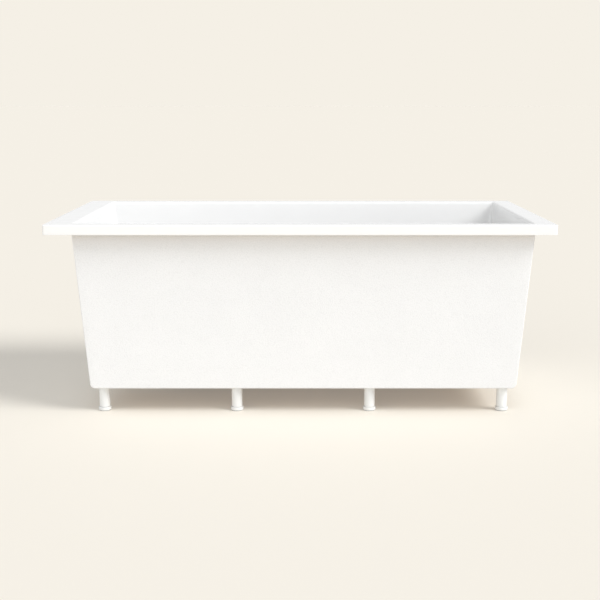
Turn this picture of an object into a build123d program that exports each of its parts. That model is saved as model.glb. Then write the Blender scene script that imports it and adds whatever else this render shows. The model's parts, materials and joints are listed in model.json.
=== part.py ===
"""A rectangular acrylic bathtub on eight screw-adjusted legs, with its pop-up waste, overflow and trap.

Millimetres. +Z is up, +X runs along the tub to the right, and the front long side faces -Y.
The origin is on the floor under the middle of the rim.
"""
from build123d import *
import os
from math import atan, cos, radians, sin

# Overall size
LENGTH = 1500.0
WIDTH = 800.0
HEIGHT = 584.0
BODY_BOTTOM = 75.0

# Rim: a flat sheet with a turned-down lip
LIP_HEIGHT = 30.0
RIM_CORNER_RADIUS = 6.0
RIM_EDGE_RADIUS = 1.8
ROLL_RADIUS = 7.5
SHEET = 4.0

# Body: flat sides that taper downward, measured where they would meet the rim's top
BODY_CENTRE_X = 10.0
BODY_HALF_LENGTH = 685.6
BODY_HALF_WIDTH = 362.7
DRAFT = 0.0725
BODY_END_RADIUS = 15.0
BODY_EDGE_RADIUS = 4.0
WALL = 8.0

# Basin
BASIN_CORNER_RADIUS = 6.0
BASIN_CORNER_GROWTH = 0.126
BASIN_FLOOR = 98.0
BASIN_FLOOR_SLOPE = 0.4
BASIN_FLOOR_RADIUS = 30.0

# Base board and rim battens
BOARD_HALF_LENGTH = 631.0
BOARD_HALF_WIDTH = 306.0
BOARD_THICKNESS = 16.0
BOARD_DRAIN_HOLE = 56.0
BATTEN_LENGTH = 1440.0
BATTEN_WIDTH = 28.0
BATTEN_HEIGHT = 20.0
BATTEN_GAP = 1.0

# Legs
LEG_SPACING = 407.5
LEG_Y = 293.0
TUBE_TOP_RADIUS = 16.6
TUBE_BOTTOM_RADIUS = 16.3
TUBE_BORE = 13.5
TUBE_BOTTOM = 12.0
PLUG_FLANGE = 2.5
PLUG_DEPTH = 15.0
BOLT_RADIUS = 4.0
BOLT_HEAD_RADIUS = 6.5
BOLT_HEAD_HEIGHT = 5.3
BOLT_END = 89.0
COLLAR_RADIUS = 19.5
COLLAR_TOP = 11.7
COLLAR_ROUND = 2.6
PAD_RADIUS = 18.0
PAD_HEIGHT = 2.5
SPINDLE_RADIUS = 8.0
SPINDLE_TOP = 50.0
INSERT_HEIGHT = 22.0
RUNNING_CLEARANCE = 0.08

# Waste in the floor
DRAIN_X = -470.0
SUMP_Z = 95.0
SUMP_RADIUS = 42.0
DRAIN_HOLE_RADIUS = 26.5
RECESS_RADIUS = 50.0
RECESS_TOP = 87.0
FLANGE_RADIUS = 36.0
FLANGE_THICKNESS = 2.6
SEAL_THICKNESS = 1.4
SKIRT_RADIUS = 24.0
SKIRT_BORE = 21.0
SKIRT_BOTTOM = 72.0
HUB_RADIUS = 6.5
HUB_HEIGHT = 5.0
HUB_BOTTOM = 79.0
SPOKE_WIDTH = 3.0
STEM_RADIUS = 3.0
BOSS_RADIUS = 7.0
BOSS_HEIGHT = 6.0
STEM_BOTTOM = 65.4
CAP_RADIUS = 31.0
CAP_THICKNESS = 3.0
CAP_GAP = 1.2
PLUG_SEAL_RADIUS = 22.5
WASHER_THICKNESS = 4.0
CUP_RADIUS = 29.0
CUP_FLANGE_RADIUS = 38.0
CUP_FLANGE_THICKNESS = 4.0
CUP_BOTTOM = 52.0
SPIGOT_RADIUS = 22.0
SPIGOT_BORE = 19.0
SPIGOT_BOTTOM = 38.5
BRANCH_Z = 61.0
BRANCH_RADIUS = 9.0
BRANCH_BORE = 7.2
BRANCH_LENGTH = 64.0
CLIP_OFFSET = 44.0
CLIP_LENGTH = 8.0
CLIP_RIB_Y = 22.5

# Lift lever under the stem
LEVER_OFFSET = 18.0
LEVER_Z = 63.0
LEVER_SHAFT_RADIUS = 3.0
LEVER_SHAFT_START = -9.0
LEVER_SHAFT_END = 35.0
FINGER_LENGTH = 20.0
FINGER_WIDTH = 8.0
FINGER_THICKNESS = 4.0
ARM_LENGTH = 14.0
ARM_WIDTH = 7.0
ARM_THICKNESS = 4.0
ARM_BOSS_RADIUS = 5.0

# Trap
TRAP_RADIUS = 47.0
TRAP_BOTTOM = 8.0
TRAP_TOP = 38.0
TRAP_WALL = 3.0
TRAP_NECK_RADIUS = 26.0
TRAP_NECK_TOP = 46.0
DIP_RADIUS = 19.0
DIP_BORE = 16.5
DIP_BOTTOM = 18.0
DIP_TOP = 46.0
INLET_NUT_RADIUS = 31.5
INLET_NUT_TOP = 51.5
OUTLET_Z = 29.0
OUTLET_RADIUS = 20.0
OUTLET_BORE = 18.0
OUTLET_SPIGOT_RADIUS = 19.3
SOCKET_RADIUS = 21.5
SOCKET_START = 34.0
SOCKET_END = 78.0
THROUGH_RADIUS = 9.0
THROUGH_Z = 23.5
OUTLET_START = 52.0
OUTLET_STEP = 84.0
OUTLET_END = 230.0
OUTLET_NUT_RADIUS = 26.5
OUTLET_NUT_LENGTH = 24.0

# Overflow in the left end wall; depths are measured from the wall's inner face
OVERFLOW_DROP = 85.0
OVERFLOW_HOLE_RADIUS = 24.0
COVER_RADIUS = 36.0
COVER_BORE = 20.0
COVER_HEIGHT = 6.0
KNOB_RADIUS = 30.0
KNOB_BOTTOM = 10.0
KNOB_TOP = 24.0
GRIP_LENGTH = 46.0
GRIP_WIDTH = 9.0
GRIP_HEIGHT = 9.0
KNOB_SPINDLE_RADIUS = 4.0
GASKET_THICKNESS = 3.0
OVERFLOW_FLANGE_RADIUS = 38.0
OVERFLOW_FLANGE_THICKNESS = 4.0
OVERFLOW_CUP_RADIUS = 28.0
OVERFLOW_CUP_BORE = 20.5
OVERFLOW_CUP_DEPTH = 36.0
OVERFLOW_CUP_WALL = 3.0
OVERFLOW_HUB_RADIUS = 8.0
OVERFLOW_HUB_TOP = -14.0
OVERFLOW_AXIS_DEPTH = 30.0
OVERFLOW_SPIGOT_LENGTH = 62.0
COVER_SCREW_RADIUS = 2.0
COVER_SCREW_OFFSET = 21.8
COVER_SCREW_END = -16.0
COVER_SCREW_HEAD = 3.6
COVER_SCREW_HEAD_HEIGHT = 1.6

# Overflow hose and control cable
HOSE_RADIUS = 11.0
HOSE_BEND = 50.0
HOSE_END_X = DRAIN_X - 36.0
HOSE_NUT_RADIUS = 13.6
HOSE_NUT_LENGTH = 14.0
CABLE_RADIUS = 2.5
CABLE_Y_TOP = 18.0
CABLE_Y_END = 32.0
CABLE_DOWN = 21.8
CABLE_BEND = 55.0
CABLE_END_X = DRAIN_X - 23.5
CABLE_Z = 49.0

WALL_ANGLE = atan(DRAFT)
SIDE_GROWTH = 1 / cos(WALL_ANGLE)
BOARD_TOP = BODY_BOTTOM + BOARD_THICKNESS
TUBE_TOP = BODY_BOTTOM - PLUG_FLANGE
RIM_UNDERSIDE = HEIGHT - SHEET
ABOVE = 20.0


def ring(outer, inner, bottom, top):
    """A round tube about the Z axis."""
    height = top - bottom
    tube = Cylinder(outer, height) - Cylinder(inner, height)
    return Pos(0, 0, (bottom + top) / 2) * tube


def disc(radius, bottom, top):
    """A solid cylinder about the Z axis."""
    return Pos(0, 0, (bottom + top) / 2) * Cylinder(radius, top - bottom)


def along_x(part):
    """Turn a part made along +Z so that it lies along +X."""
    return Rot(0, 90, 0) * part


def ribbed_nut(outer, inner, bottom, top, ribs=12):
    """A hand-tightened union nut: a ring with rounded grip ribs round it."""
    nut = ring(outer - 1.2, inner, bottom, top)
    rib = Pos(outer - 1.6, 0, (bottom + top) / 2) * Cylinder(1.6, top - bottom)
    rib = rib - disc(outer - 2.0, bottom, top)
    for index in range(ribs):
        nut += Rot(0, 0, 360 / ribs * index) * rib
    return nut


def basin_section(height, grow):
    """The basin's outline, which follows the body's taper, with corners rounder towards the floor."""
    drop = HEIGHT - height
    inset = (WALL - grow) * SIDE_GROWTH
    half_length = BODY_HALF_LENGTH - drop * DRAFT - inset
    half_width = BODY_HALF_WIDTH - drop * DRAFT - inset
    radius = BASIN_CORNER_RADIUS + drop * BASIN_CORNER_GROWTH + grow
    outline = RectangleRounded(2 * half_length, 2 * half_width, radius)
    return Plane.XY.offset(height) * Pos(BODY_CENTRE_X, 0) * outline


def basin_space(grow):
    """The water space, grown outward by a sheet thickness, with its sloping floor and drain sump."""
    low = BASIN_FLOOR - 3 * BASIN_FLOOR_RADIUS / 4
    space = loft([basin_section(HEIGHT + ABOVE, grow), basin_section(low, grow)], ruled=True)
    tilt = radians(BASIN_FLOOR_SLOPE)
    floor_plane = Plane(
        origin=(DRAIN_X, 0, BASIN_FLOOR - grow),
        x_dir=(cos(tilt), 0, sin(tilt)),
        z_dir=(-sin(tilt), 0, cos(tilt)),
    )
    space = split(space, floor_plane, keep=Keep.TOP)
    floor_face = space.faces().sort_by(Axis.Z)[0]
    space = fillet(floor_face.edges(), BASIN_FLOOR_RADIUS + grow)
    sump = Pos(DRAIN_X, 0) * disc(SUMP_RADIUS + grow, SUMP_Z - grow, BASIN_FLOOR + SHEET)
    return space + sump


def overflow_frame():
    """The frame at the overflow hole: its Z points into the basin, its Y points up the wall."""
    left_end = BODY_CENTRE_X - BODY_HALF_LENGTH + WALL * SIDE_GROWTH
    origin = (left_end + OVERFLOW_DROP * DRAFT, 0, HEIGHT - OVERFLOW_DROP)
    return Plane(origin=origin, x_dir=(0, 1, 0), z_dir=(cos(WALL_ANGLE), 0, sin(WALL_ANGLE)))


OVERFLOW = overflow_frame()


def acrylic_shell(water_space, sheet_space):
    """Rim, lip, walls and floor: one formed sheet with a drain hole and an overflow hole."""
    lip_bottom = HEIGHT - LIP_HEIGHT
    slab = extrude(
        Plane.XY.offset(lip_bottom) * RectangleRounded(LENGTH, WIDTH, RIM_CORNER_RADIUS),
        LIP_HEIGHT,
    )
    slab = fillet(slab.faces().sort_by(Axis.Z)[-1].edges(), RIM_EDGE_RADIUS)
    slab = fillet(slab.faces().sort_by(Axis.Z)[0].edges(), RIM_EDGE_RADIUS / 2)
    hollow = extrude(
        Plane.XY.offset(lip_bottom - 1)
        * RectangleRounded(LENGTH - 2 * SHEET, WIDTH - 2 * SHEET, RIM_CORNER_RADIUS - SHEET),
        LIP_HEIGHT - SHEET + 1,
    )
    basin_outside = split(sheet_space, Plane.XY.offset(HEIGHT - SHEET / 2), keep=Keep.BOTTOM)
    shell = slab - hollow + basin_outside - water_space
    top_face = shell.faces().filter_by(Axis.Z).sort_by(Axis.Z)[-1]
    shell = fillet(top_face.inner_wires()[0].edges(), ROLL_RADIUS)
    shell -= Pos(DRAIN_X, 0) * disc(DRAIN_HOLE_RADIUS, BODY_BOTTOM, BASIN_FLOOR + ABOVE)
    shell -= OVERFLOW * disc(OVERFLOW_HOLE_RADIUS, -WALL - ABOVE, ABOVE)
    return shell


def taper(plane, half_top, centre, end_radius):
    """The body's tapering outline seen along one axis, with its lower corners rounded."""
    half_bottom = half_top - (HEIGHT - BODY_BOTTOM) * DRAFT
    half_upper = half_top - (HEIGHT - RIM_UNDERSIDE) * DRAFT
    outline = Polygon(
        (centre - half_upper, RIM_UNDERSIDE),
        (centre - half_bottom, BODY_BOTTOM),
        (centre + half_bottom, BODY_BOTTOM),
        (centre + half_upper, RIM_UNDERSIDE),
        align=None,
    )
    if end_radius > 0:
        outline = fillet(outline.vertices().sort_by(Axis.Y)[:2], end_radius)
    return extrude(plane * outline, LENGTH, both=True)


def body_form():
    """Flat tapering sides; a large round runs under each end, and all other edges have small rounds."""
    across = taper(Plane.XZ, BODY_HALF_LENGTH, BODY_CENTRE_X, BODY_END_RADIUS)
    along = taper(Plane.YZ, BODY_HALF_WIDTH, 0, 0)
    body = across & along
    for side in (0, -1):
        face = body.faces().sort_by(Axis.Y)[side]
        edges = [edge for edge in face.edges() if edge.center().Z < RIM_UNDERSIDE - 1]
        body = fillet(edges, BODY_EDGE_RADIUS)
    return body


def fibreglass_backing(sheet_space):
    """The laminate outside the sheet, with a pocket for the board and a recess for the drain."""
    body = body_form()
    body -= sheet_space
    body -= board_blank()
    body -= Pos(DRAIN_X, 0) * disc(RECESS_RADIUS, BODY_BOTTOM - 1, RECESS_TOP)
    body -= Pos(DRAIN_X, 0) * disc(DRAIN_HOLE_RADIUS, BODY_BOTTOM, BASIN_FLOOR)
    body -= OVERFLOW * disc(OVERFLOW_HOLE_RADIUS, -WALL - ABOVE, ABOVE)
    return body


def board_blank():
    """The base board before its bolt holes are drilled."""
    board = Pos(BODY_CENTRE_X, 0, BODY_BOTTOM + BOARD_THICKNESS / 2) * Box(
        2 * BOARD_HALF_LENGTH, 2 * BOARD_HALF_WIDTH, BOARD_THICKNESS
    )
    return board - Pos(DRAIN_X, 0) * disc(BOARD_DRAIN_HOLE, BODY_BOTTOM - 1, BOARD_TOP + 1)


def base_board():
    """Chipboard let into the underside, which the legs are bolted to."""
    board = board_blank()
    for leg_x, leg_y in leg_places():
        board -= Pos(leg_x, leg_y) * disc(BOLT_RADIUS, BODY_BOTTOM - 1, BOLT_END)
    return board


def rim_batten(side):
    """A timber strip glued under one long side of the rim."""
    batten_y = side * (WIDTH / 2 - SHEET - BATTEN_GAP - BATTEN_WIDTH / 2)
    batten_z = RIM_UNDERSIDE - BATTEN_HEIGHT / 2
    return Pos(0, batten_y, batten_z) * Box(BATTEN_LENGTH, BATTEN_WIDTH, BATTEN_HEIGHT)


def leg_places():
    """Four legs along the front, then four along the back, from left to right."""
    places = []
    for side in (-1, 1):
        for step in (-1.5, -0.5, 0.5, 1.5):
            places.append((BODY_CENTRE_X + step * LEG_SPACING, side * LEG_Y))
    return places


def leg_tube():
    """The slightly tapering plastic tube of a leg."""
    height = TUBE_TOP - TUBE_BOTTOM
    cone = Pos(0, 0, TUBE_BOTTOM + height / 2) * Cone(TUBE_BOTTOM_RADIUS, TUBE_TOP_RADIUS, height)
    return cone - disc(TUBE_BORE, TUBE_BOTTOM - 1, TUBE_TOP + 1)


def leg_plug():
    """The flanged plug bolted under the board, which the tube is pushed on."""
    plug = disc(TUBE_TOP_RADIUS, TUBE_TOP, BODY_BOTTOM) + disc(TUBE_BORE, TUBE_TOP - PLUG_DEPTH, TUBE_TOP)
    return plug - disc(BOLT_RADIUS, TUBE_TOP - PLUG_DEPTH - 1, BODY_BOTTOM + 1)


def leg_bolt():
    """The bolt that holds a plug to the board."""
    head_top = TUBE_TOP - PLUG_DEPTH
    head = extrude(
        Plane.XY.offset(head_top - BOLT_HEAD_HEIGHT) * RegularPolygon(BOLT_HEAD_RADIUS, 6),
        BOLT_HEAD_HEIGHT,
    )
    return head + disc(BOLT_RADIUS, head_top, BOLT_END)


def thread_insert():
    """The threaded bush at the bottom of a tube."""
    insert_bottom = TUBE_BOTTOM + 1
    bore = SPINDLE_RADIUS + RUNNING_CLEARANCE
    return ring(TUBE_BORE, bore, insert_bottom, insert_bottom + INSERT_HEIGHT)


def levelling_foot():
    """The flared collar and the spindle that screws up into the tube."""
    collar = disc(COLLAR_RADIUS, PAD_HEIGHT, COLLAR_TOP)
    collar = fillet(collar.edges().sort_by(Axis.Z)[-1], COLLAR_ROUND)
    collar = fillet(collar.edges().sort_by(Axis.Z)[0], COLLAR_ROUND / 3)
    spindle = disc(SPINDLE_RADIUS, COLLAR_TOP - 1, SPINDLE_TOP)
    spindle = chamfer(spindle.edges().sort_by(Axis.Z)[-1], 1.0)
    return collar + spindle


def foot_pad():
    """The soft disc that the collar turns on."""
    pad = disc(PAD_RADIUS, 0, PAD_HEIGHT)
    return fillet(pad.edges().sort_by(Axis.Z)[0], PAD_HEIGHT / 4)


def drain_flange():
    """The plated flange in the sump, with the threaded skirt and the spoked guide for the stem."""
    seat = SUMP_Z + SEAL_THICKNESS
    flange = disc(FLANGE_RADIUS, seat, seat + FLANGE_THICKNESS)
    flange = fillet(flange.edges().sort_by(Axis.Z)[-1], 1.6)
    flange += disc(SKIRT_RADIUS, SKIRT_BOTTOM, seat + 1)
    flange -= disc(SKIRT_BORE, SKIRT_BOTTOM - 1, seat + 2 * FLANGE_THICKNESS)
    mouth = Pos(0, 0, seat + FLANGE_THICKNESS / 2) * Cone(SKIRT_BORE, SKIRT_BORE + 3, FLANGE_THICKNESS)
    flange -= mouth
    spider = disc(HUB_RADIUS, HUB_BOTTOM, HUB_BOTTOM + HUB_HEIGHT)
    spoke_length = SKIRT_BORE + 1
    for index in range(4):
        spoke = Pos(spoke_length / 2, 0, HUB_BOTTOM + HUB_HEIGHT / 2) * Box(
            spoke_length, SPOKE_WIDTH, HUB_HEIGHT
        )
        spider += Rot(0, 0, 90 * index + 45) * spoke
    flange += spider
    return flange - disc(STEM_RADIUS + RUNNING_CLEARANCE, HUB_BOTTOM - 1, HUB_BOTTOM + HUB_HEIGHT + 1)


def flange_seal():
    """The ring between the flange and the sump."""
    return ring(FLANGE_RADIUS - 1, DRAIN_HOLE_RADIUS - 1, SUMP_Z, SUMP_Z + SEAL_THICKNESS)


def drain_washer():
    """The thick rubber washer under the floor."""
    return ring(CUP_FLANGE_RADIUS, DRAIN_HOLE_RADIUS, RECESS_TOP - WASHER_THICKNESS, RECESS_TOP)


def drain_body():
    """The cup under the floor, with the overflow branch, the trap spigot, and the cable's clip."""
    flange_top = RECESS_TOP - WASHER_THICKNESS
    body = disc(CUP_FLANGE_RADIUS, flange_top - CUP_FLANGE_THICKNESS, flange_top)
    body += disc(CUP_RADIUS, CUP_BOTTOM, flange_top)
    body += disc(SPIGOT_RADIUS, SPIGOT_BOTTOM, CUP_BOTTOM + 1)
    branch = Rot(0, 0, 180) * along_x(disc(BRANCH_RADIUS, 0, BRANCH_LENGTH))
    branch_bore = Rot(0, 0, 180) * along_x(disc(BRANCH_BORE, 0, BRANCH_LENGTH + 1))
    body += Pos(0, 0, BRANCH_Z) * branch
    rib = Pos(-CLIP_OFFSET / 2 - 10, CLIP_RIB_Y, CUP_BOTTOM + 3) * Box(CLIP_OFFSET - 15, 5, 6)
    clip = Pos(-CLIP_OFFSET, CABLE_Y_END - 5, CABLE_Z + 2) * Box(CLIP_LENGTH, 20, 14)
    body += rib + clip
    body -= disc(SKIRT_RADIUS, CUP_BOTTOM + 4, flange_top + 1)
    body -= disc(SPIGOT_BORE, SPIGOT_BOTTOM - 1, CUP_BOTTOM + 5)
    body -= Pos(0, 0, BRANCH_Z) * branch_bore
    cable_bore = along_x(disc(CABLE_RADIUS, -CLIP_LENGTH, CLIP_LENGTH))
    body -= Pos(-CLIP_OFFSET, CABLE_Y_END, CABLE_Z) * cable_bore
    shaft_bore = Rot(-90, 0, 0) * disc(LEVER_SHAFT_RADIUS + RUNNING_CLEARANCE, 0, LEVER_SHAFT_END)
    return body - Pos(-LEVER_OFFSET, 0, LEVER_Z) * shaft_bore


def plug_cap():
    """The domed cap that covers the waste."""
    rest = SUMP_Z + SEAL_THICKNESS + FLANGE_THICKNESS + CAP_GAP
    cap = disc(CAP_RADIUS, rest, rest + CAP_THICKNESS)
    cap = fillet(cap.edges().sort_by(Axis.Z)[-1], 2.0)
    return cap + disc(BOSS_RADIUS, rest - BOSS_HEIGHT, rest)


def plug_seal():
    """The ring under the cap that closes the flange's mouth."""
    rest = SUMP_Z + SEAL_THICKNESS + FLANGE_THICKNESS + CAP_GAP
    return ring(PLUG_SEAL_RADIUS, BOSS_RADIUS, rest - 1.0, rest)


def plug_stem():
    """The rod that guides the cap and that the lever lifts."""
    stem_top = SUMP_Z + SEAL_THICKNESS + FLANGE_THICKNESS + CAP_GAP - BOSS_HEIGHT
    return disc(STEM_RADIUS, STEM_BOTTOM, stem_top)


def lift_lever():
    """One moulding: the shaft through the cup's side, the finger inside and the arm outside."""
    length = LEVER_SHAFT_END - LEVER_SHAFT_START
    middle = (LEVER_SHAFT_END + LEVER_SHAFT_START) / 2
    shaft = Rot(90, 0, 0) * Cylinder(LEVER_SHAFT_RADIUS, length)
    lever = Pos(0, middle, 0) * shaft
    lever += Pos(FINGER_LENGTH / 2, 0, 0) * Box(FINGER_LENGTH, FINGER_WIDTH, FINGER_THICKNESS)
    arm_y = LEVER_SHAFT_END - ARM_THICKNESS / 2
    lever += Pos(0, arm_y, 0) * Rot(90, 0, 0) * Cylinder(ARM_BOSS_RADIUS, ARM_THICKNESS)
    lever += Pos(0, arm_y, -ARM_LENGTH / 2) * Box(ARM_WIDTH, ARM_THICKNESS, ARM_LENGTH)
    return Pos(DRAIN_X - LEVER_OFFSET, 0, LEVER_Z) * lever


def trap_nut():
    """The union nut that draws the trap up to the drain's spigot."""
    nut = ribbed_nut(INLET_NUT_RADIUS, TRAP_NECK_RADIUS, TRAP_TOP + 0.5, TRAP_NECK_TOP + 1.5, ribs=16)
    return nut + ring(INLET_NUT_RADIUS - 2, SPIGOT_RADIUS, TRAP_NECK_TOP + 1.5, INLET_NUT_TOP)


def trap_body():
    """The low water trap: a shallow cup with a neck on top and a socket at its side."""
    socket = along_x(disc(SOCKET_RADIUS, SOCKET_START, SOCKET_END))
    socket_bore = along_x(disc(OUTLET_SPIGOT_RADIUS, OUTLET_START, SOCKET_END + 1))
    through = along_x(disc(THROUGH_RADIUS, 0, SOCKET_END))
    cup = disc(TRAP_RADIUS, TRAP_BOTTOM, TRAP_TOP)
    cup = fillet(cup.edges(), 5.0)
    cup += disc(TRAP_NECK_RADIUS, TRAP_TOP - 1, TRAP_NECK_TOP)
    cup += Pos(0, 0, OUTLET_Z) * socket
    hollow = disc(TRAP_RADIUS - TRAP_WALL, TRAP_BOTTOM + TRAP_WALL, TRAP_TOP - TRAP_WALL)
    cup -= fillet(hollow.edges(), 3.0)
    cup -= disc(SPIGOT_RADIUS, SPIGOT_BOTTOM, TRAP_NECK_TOP + 1)
    cup -= disc(DIP_RADIUS, TRAP_TOP - TRAP_WALL - 1, TRAP_NECK_TOP)
    cup -= Pos(0, 0, OUTLET_Z) * socket_bore
    return cup - Pos(0, 0, THROUGH_Z) * through


def dip_tube():
    """The tube that reaches below the trap's water level."""
    return ring(DIP_RADIUS, DIP_BORE, DIP_BOTTOM, DIP_TOP)


def outlet_pipe():
    """The waste pipe: a spigot in the trap's socket, and the free end that the house's drain is pushed on."""
    pipe = ring(OUTLET_SPIGOT_RADIUS, OUTLET_BORE, OUTLET_START, OUTLET_STEP)
    pipe += ring(OUTLET_RADIUS, OUTLET_BORE, OUTLET_STEP, OUTLET_END)
    return Pos(0, 0, OUTLET_Z) * along_x(pipe)


def outlet_nut():
    """The union nut round the trap's socket."""
    nut_start = SOCKET_END - OUTLET_NUT_LENGTH + 4
    nut = ribbed_nut(OUTLET_NUT_RADIUS, SOCKET_RADIUS, nut_start, SOCKET_END, ribs=14)
    nut += ring(OUTLET_NUT_RADIUS - 2, OUTLET_SPIGOT_RADIUS, SOCKET_END, SOCKET_END + 4)
    return Pos(0, 0, OUTLET_Z) * along_x(nut)


def screw_place(turn):
    """Where one of the cover's two screws sits, in the overflow's frame."""
    return Rot(0, 0, turn) * Pos(COVER_SCREW_OFFSET, 0, 0)


def overflow_body():
    """The cup behind the end wall, with the hub for the knob's spindle and the hose spigot."""
    seat = -WALL - GASKET_THICKNESS
    back = seat - OVERFLOW_CUP_DEPTH
    body = disc(OVERFLOW_FLANGE_RADIUS, seat - OVERFLOW_FLANGE_THICKNESS, seat)
    body += disc(OVERFLOW_CUP_RADIUS, back, seat)
    body += disc(OVERFLOW_HOLE_RADIUS, seat, 0)
    outlet_depth = Pos(0, 0, -OVERFLOW_AXIS_DEPTH)
    body += outlet_depth * Rot(90, 0, 0) * disc(BRANCH_RADIUS, 0, OVERFLOW_SPIGOT_LENGTH)
    body -= disc(OVERFLOW_CUP_BORE, back + OVERFLOW_CUP_WALL, 1)
    spigot_bore = disc(BRANCH_BORE, OVERFLOW_CUP_BORE - 2, OVERFLOW_SPIGOT_LENGTH + 1)
    body -= outlet_depth * Rot(90, 0, 0) * spigot_bore
    for turn in (0, 180):
        body -= screw_place(turn) * disc(COVER_SCREW_RADIUS, COVER_SCREW_END - 2, 1)
    spindle_bore = KNOB_SPINDLE_RADIUS + RUNNING_CLEARANCE
    return body + ring(OVERFLOW_HUB_RADIUS, spindle_bore, back + 1, OVERFLOW_HUB_TOP)


def overflow_gasket():
    """The rubber ring between the wall and the overflow body."""
    return ring(OVERFLOW_FLANGE_RADIUS - 1, OVERFLOW_HOLE_RADIUS, -WALL - GASKET_THICKNESS, -WALL)


def overflow_cover():
    """The plated cover inside the basin, open in the middle for the water."""
    cover = disc(COVER_RADIUS, 0, COVER_HEIGHT)
    cover = fillet(cover.edges().sort_by(Axis.Z)[-1], 2.0)
    cover -= disc(COVER_BORE - 2, -1, COVER_HEIGHT + 1)
    for turn in (0, 180):
        cover -= screw_place(turn) * disc(COVER_SCREW_RADIUS, -1, COVER_HEIGHT + 1)
    return cover


def overflow_screw(turn):
    """A countersunk screw through the cover into the overflow body."""
    screw = disc(COVER_SCREW_RADIUS, COVER_SCREW_END, COVER_HEIGHT)
    screw += disc(COVER_SCREW_HEAD, COVER_HEIGHT, COVER_HEIGHT + COVER_SCREW_HEAD_HEIGHT)
    return screw_place(turn) * screw


def overflow_knob():
    """The turning knob: a domed disc with a raised grip bar and its spindle."""
    knob = disc(KNOB_RADIUS, KNOB_BOTTOM, KNOB_TOP - GRIP_HEIGHT)
    knob = fillet(knob.edges().sort_by(Axis.Z)[-1], 2.5)
    grip = Pos(0, 0, KNOB_TOP - GRIP_HEIGHT / 2) * Box(GRIP_WIDTH, GRIP_LENGTH, GRIP_HEIGHT)
    grip = fillet(grip.edges().filter_by(Axis.Z), 4.0)
    grip = fillet(grip.faces().sort_by(Axis.Z)[-1].edges(), 2.0)
    return knob + grip + disc(KNOB_SPINDLE_RADIUS, -WALL - GASKET_THICKNESS - 30, KNOB_BOTTOM + 1)


def overflow_point(depth, down, across=0.0):
    """A point near the overflow: a depth behind the wall's inner face and a distance down the wall."""
    return OVERFLOW.from_local_coords(Vector(across, -down, -depth))


def tube_along(path, radius, bore=0.0):
    """A round tube, or a solid cord where the bore is zero, along a path."""
    start = Plane(origin=path @ 0, z_dir=path % 0)
    tube = sweep(start * Circle(radius), path=path)
    if bore > 0:
        tube -= sweep(start * Circle(bore), path=path)
    print("route length", round(path.length, 1), "volume", round(tube.volume, 1))
    return tube


def hose_path():
    """Down the outside of the end wall, round under the body and along to the drain's branch."""
    top = overflow_point(OVERFLOW_AXIS_DEPTH, OVERFLOW_FLANGE_RADIUS + 1)
    fall = (top.Z - BRANCH_Z) / cos(WALL_ANGLE)
    corner = overflow_point(OVERFLOW_AXIS_DEPTH, OVERFLOW_FLANGE_RADIUS + 1 + fall)
    return FilletPolyline(top, corner, Vector(HOSE_END_X, 0, BRANCH_Z), radius=[HOSE_BEND])


def overflow_hose():
    """The hose that carries the overflow's water to the drain, pushed over both spigots."""
    return tube_along(hose_path(), HOSE_RADIUS, BRANCH_RADIUS)


def hose_nuts():
    """The two clamp nuts on the hose's ends."""
    blank = ring(HOSE_NUT_RADIUS - 1.2, HOSE_RADIUS, 0, HOSE_NUT_LENGTH)
    rib = Pos(HOSE_NUT_RADIUS - 1.6, 0, HOSE_NUT_LENGTH / 2) * Cylinder(1.6, HOSE_NUT_LENGTH)
    rib = rib - disc(HOSE_NUT_RADIUS - 2.0, 0, HOSE_NUT_LENGTH)
    for index in range(10):
        blank += Rot(0, 0, 36 * index) * rib
    path = hose_path()
    upper = Plane(origin=path @ 0, z_dir=path % 0) * blank
    lower = Plane(origin=path @ 1, z_dir=(path % 1) * -1) * blank
    return [upper, lower]


def control_cable():
    """The sheathed cable from the overflow body to the clip beside the lift lever."""
    start = overflow_point(OVERFLOW_AXIS_DEPTH, CABLE_DOWN, CABLE_Y_TOP)
    fall = (start.Z - CABLE_Z) / cos(WALL_ANGLE)
    corner = overflow_point(OVERFLOW_AXIS_DEPTH, CABLE_DOWN + fall, CABLE_Y_TOP + 7)
    end = Vector(CABLE_END_X, CABLE_Y_END, CABLE_Z)
    before_end = Vector(CABLE_END_X - 40, CABLE_Y_END, CABLE_Z)
    path = FilletPolyline(start, corner, before_end, end, radius=[CABLE_BEND, 4 * CABLE_BEND])
    return tube_along(path, CABLE_RADIUS)


def save(name, shape):
    """Write one node's solid, or its group of solids, to its STEP file."""
    if isinstance(shape, list):
        shape = Compound(children=[solid for part in shape for solid in part.solids()])
    export_step(shape, f"parts/{name}.step")


def save_tub():
    """The shell, its backing, the board and the battens."""
    sheet_space = basin_space(SHEET)
    save("acrylic_shell", acrylic_shell(basin_space(0), sheet_space))
    save("fibreglass_backing", fibreglass_backing(sheet_space))
    save("base_board", base_board())
    save("rim_batten_front", rim_batten(-1))
    save("rim_batten_back", rim_batten(1))


def save_legs():
    """Eight legs, each with its tube, plug, foot and pad in nodes of their own."""
    row_names = [f"front_{number}" for number in (1, 2, 3, 4)] + [f"back_{number}" for number in (1, 2, 3, 4)]
    bolts = []
    inserts = []
    for name, place in zip(row_names, leg_places()):
        here = Pos(*place)
        save(f"leg_tube_{name}", here * leg_tube())
        save(f"leg_plug_{name}", here * leg_plug())
        save(f"levelling_foot_{name}", here * levelling_foot())
        save(f"foot_pad_{name}", here * foot_pad())
        bolts.append(here * leg_bolt())
        inserts.append(here * thread_insert())
    save("leg_bolts", bolts)
    save("thread_inserts", inserts)


def save_waste():
    """The pop-up waste, its lift lever and the trap."""
    here = Pos(DRAIN_X, 0)
    makers = (
        drain_flange, flange_seal, drain_washer, drain_body, plug_cap, plug_seal, plug_stem,
        trap_nut, trap_body, dip_tube, outlet_pipe, outlet_nut,
    )
    for maker in makers:
        save(maker.__name__, here * maker())
    save("lift_lever", lift_lever())


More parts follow.
